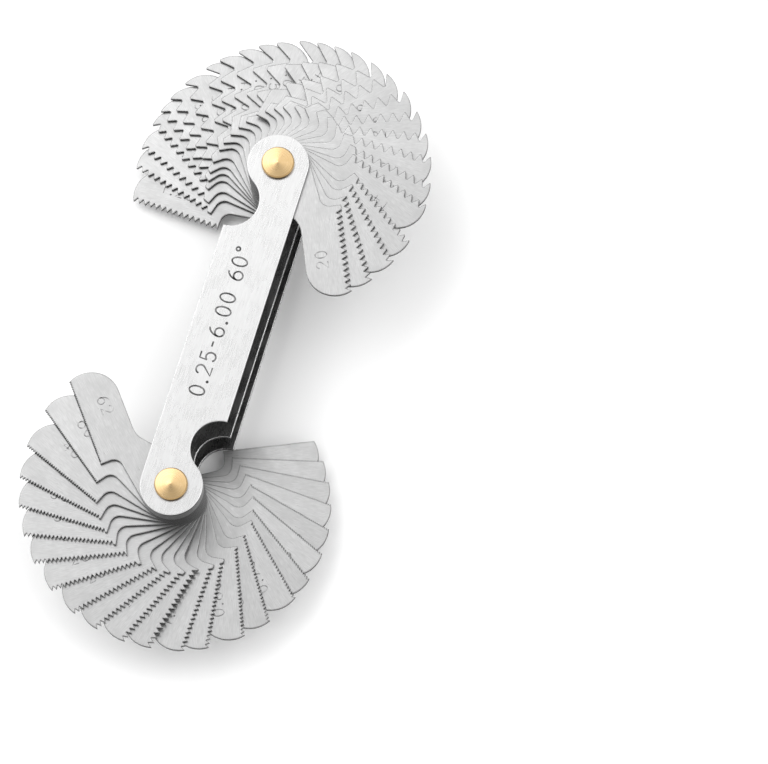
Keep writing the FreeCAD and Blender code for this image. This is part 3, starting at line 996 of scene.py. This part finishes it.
@dataclass
class TurnedRivet:
    """A brass rivet with a faced, edge-broken head at each end.

    Attributes:
        node: The rivet's node.
        axis_y: Where its axis crosses the case's centre line.
        body: The body that it belongs to.
        shaft_radius: Radius of the shaft.
        head_height: Height of a head.
        edge_break: Width of the bevel round a head's face.
        facets: Sides round the axis.
        face_rings: Rings of faces on a head.
    """

    node: str
    axis_y: float
    body: str = "case"
    shaft_radius: float = 1.8 * MM
    head_height: float = 0.9 * MM
    edge_break: float = 0.25 * MM
    facets: int = 128
    face_rings: int = 10

    def profile(self, length: float, head_radius: float) -> list[tuple[float, float]]:
        """Half section of the rivet.

        Args:
            length: Length over both heads.
            head_radius: Radius of the heads.

        Returns:
            Radius and height of each corner, from the rear face's middle to the front face's middle.
        """
        rim = head_radius - self.edge_break
        face = [(rim * ring / self.face_rings, 0.0) for ring in range(self.face_rings + 1)]
        half = face + [(head_radius, self.edge_break), (head_radius, self.head_height),
                       (self.shaft_radius, self.head_height)]
        return half + [(radius, length - height) for radius, height in reversed(half)]

    def build(self, effects: SurfaceEffects) -> bpy.types.Object:
        """Turn the rivet and let it stand for its node.

        Args:
            effects: The shared shader groups.

        Returns:
            The rivet.
        """
        low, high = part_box(self.node)
        section = self.profile(high.z - low.z, (high.x - low.x) / 2)
        shape = bmesh.new()
        corners = [shape.verts.new((radius, 0.0, low.z + height)) for radius, height in section]
        sides = [shape.edges.new(pair) for pair in zip(corners, corners[1:])]
        bmesh.ops.spin(shape, geom=corners + sides, cent=(0.0, 0.0, 0.0), axis=(0.0, 0.0, 1.0),
                       angle=math.tau, steps=self.facets, use_merge=True, use_duplicate=False)
        bmesh.ops.remove_doubles(shape, verts=shape.verts, dist=0.001 * MM)
        bmesh.ops.recalc_face_normals(shape, faces=shape.faces)
        bmesh.ops.translate(shape, verts=shape.verts, vec=(0.0, self.axis_y, 0.0))
        mesh = bpy.data.meshes.new(f"{self.node}_turned")
        shape.to_mesh(mesh)
        shape.free()
        mesh.materials.append(RIVET_BRASS.material(effects, self.node, Vector((0.0, self.axis_y, 0.0))))
        piece = bpy.data.objects.new(f"{self.node}_turned", mesh)
        bpy.context.scene.collection.objects.link(piece)
        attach(piece, self.body)
        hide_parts(self.node)
        log.info("rivet %s", piece.name)
        return piece


def dress_node(node: str, material: bpy.types.Material) -> None:
    """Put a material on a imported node.

    Args:
        node: The node's name.
        material: The material that all its faces take.
    """
    mesh = bpy.data.objects[node].data
    mesh.materials.clear()
    mesh.materials.append(material)


# ---------------------------------------------------------------- studio

@dataclass(frozen=True)
class RoomPatch:
    """A part of the room that is lighter or darker than the rest.

    Attributes:
        towards: Direction of its middle from the gauge.
        inner: Cosine of the angle within which it has its full factor.
        outer: Cosine of the angle beyond which it has none.
        factor: Factor on the room's light.
    """

    towards: tuple[float, float, float]
    inner: float
    outer: float
    factor: float


@dataclass(frozen=True)
class Softbox:
    """A square area light.

    Attributes:
        name: What it is called.
        towards: Direction in which it stands from the gauge.
        distance: How far it stands from the gauge.
        width: Its width.
        power: Its power in watts.
    """

    name: str
    towards: tuple[float, float, float]
    distance: float
    width: float
    power: float

    def hang(self, centre: Vector) -> None:
        """Hang the light, aimed at a point.

        Args:
            centre: The point that it is aimed at.
        """
        lamp = bpy.data.lights.new(self.name, "AREA")
        lamp.size = self.width
        lamp.energy = self.power
        holder = bpy.data.objects.new(lamp.name, lamp)
        holder.location = centre + Vector(self.towards).normalized() * self.distance
        holder.rotation_euler = (centre - holder.location).to_track_quat("-Z", "Y").to_euler()
        bpy.context.scene.collection.objects.link(holder)


TABLE_GAP = 0.05 * MM
CEILING_FROM = 0.7
CEILING_LIGHT = 1.03
HORIZON_LIGHT = 1.45
ROOM = (
    RoomPatch((0.14, -0.34, 0.93), inner=0.97, outer=0.80, factor=0.2),
    RoomPatch((0.9, 0.1, 0.35), inner=0.95, outer=0.7, factor=1.5),
    RoomPatch((0.45, 0.3, 0.85), inner=0.97, outer=0.86, factor=1.7),
)
KEY_LIGHT = Softbox("softbox_key", (-0.72, 0.3, 0.62), distance=0.8, width=0.9, power=4.6)


@dataclass
class Studio:
    """A pale table, soft lights and the camera.

    Attributes:
        camera_tilt: Camera's turn about X, Y and Z, from the part's frame to the camera's, in degrees.
        camera_distance: Camera to the point that it is aimed at.
        aim_offset: From the middle of the case to that point, beside the gauge.
        lens: Focal length in millimetres on a 36 mm wide sensor.
        floor_width: Width of the table.
    """

    camera_tilt: tuple[float, float, float] = (-16.39, -7.06, -15.75)
    camera_distance: float = 0.9935
    aim_offset: Vector = field(default_factory=lambda: Vector((33.5, 0.12, -0.1)) * MM)
    lens: float = 226.75
    floor_width: float = 6.0

    def build(self) -> None:
        """Set the table, the lights and the camera."""
        low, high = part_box("front_plate")
        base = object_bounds()[0].z
        centre = Vector(((low.x + high.x) / 2, (low.y + high.y) / 2, (base + high.z) / 2))
        self._table(base)
        self._lights(centre)
        self._camera(centre)

    def _table(self, height: float) -> None:
        """Lay the table under the gauge.

        Args:
            height: Height of the gauge's lowest point.
        """
        half = self.floor_width / 2
        mesh = bpy.data.meshes.new("table_top")
        corners = [(-half, -half), (half, -half), (half, half), (-half, half)]
        mesh.from_pydata([(x, y, height - TABLE_GAP) for x, y in corners], [], [(0, 1, 2, 3)])
        table = bpy.data.objects.new("table_top", mesh)
        bpy.context.scene.collection.objects.link(table)
        paper = bpy.data.materials.new("white_paper")
        paper.use_nodes = True
        shader = paper.node_tree.nodes["Principled BSDF"]
        shader.inputs["Base Color"].default_value = grey(0.97)
        shader.inputs["Roughness"].default_value = 0.9
        shader.inputs["Specular IOR Level"].default_value = 0.1
        mesh.materials.append(paper)
        table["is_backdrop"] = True

    @staticmethod
    def _lights(centre: Vector) -> None:
        """Hang the softbox in a white room, which is darker behind the camera.

        Args:
            centre: The point that the softbox is aimed at.
        """
        world = bpy.data.worlds.new("white_room")
        bpy.context.scene.world = world
        world.use_nodes = True
        graph = NodeGraph(world.node_tree)
        background = world.node_tree.nodes["Background"]
        sight = graph.node("ShaderNodeTexCoord").outputs["Generated"]
        split = graph.node("ShaderNodeSeparateXYZ")
        graph.link(sight, split.inputs[0])
        level = graph.ramp(split.outputs["Z"], 0.0, CEILING_FROM, HORIZON_LIGHT, CEILING_LIGHT)
        for patch in ROOM:
            aimed = graph.node("ShaderNodeVectorMath", operation="DOT_PRODUCT")
            graph.link(sight, aimed.inputs[0])
            aimed.inputs[1].default_value = Vector(patch.towards).normalized()
            shade = graph.ramp(aimed.outputs["Value"], patch.outer, patch.inner, 1.0, patch.factor)
            level = graph.math("MULTIPLY", level, shade)
        graph.link(level, background.inputs["Strength"])
        background.inputs["Color"].default_value = grey(1.0)
        KEY_LIGHT.hang(centre)

    def _camera(self, centre: Vector) -> None:
        """Set the camera and the picture's plain tones.

        Args:
            centre: Middle of the case, beside which the camera is aimed.
        """
        pitch, yaw, roll = (math.radians(angle) for angle in self.camera_tilt)
        to_camera = Euler((pitch, yaw, roll), "XYZ").to_matrix()
        to_part = to_camera.transposed()
        lens = bpy.data.cameras.new("camera")
        lens.lens = self.lens
        lens.clip_start = 0.05
        camera = bpy.data.objects.new("camera", lens)
        aim = centre + self.aim_offset
        place = aim + to_part @ Vector((0.0, 0.0, self.camera_distance))
        camera.matrix_world = Matrix.Translation(place) @ to_part.to_4x4()
        bpy.context.scene.collection.objects.link(camera)
        bpy.context.scene.camera = camera
        bpy.context.scene.view_settings.view_transform = "Standard"


# ---------------------------------------------------------------- making


def main() -> None:
    """Load the frame and build every sub-assembly."""
    logging.basicConfig(level=logging.INFO, format="%(name)s: %(message)s")
    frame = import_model()
    effects = SurfaceEffects()
    marker = Marker()
    Case().build(effects, marker)
    for node in ("lower_rivet", "upper_rivet"):
        low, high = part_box(node)
        TurnedRivet(node, axis_y=(low.y + high.y) / 2).build(effects)
    LeafFans(frame).build(effects, marker)
    Studio().build()


if __name__ == "__main__":
    main()
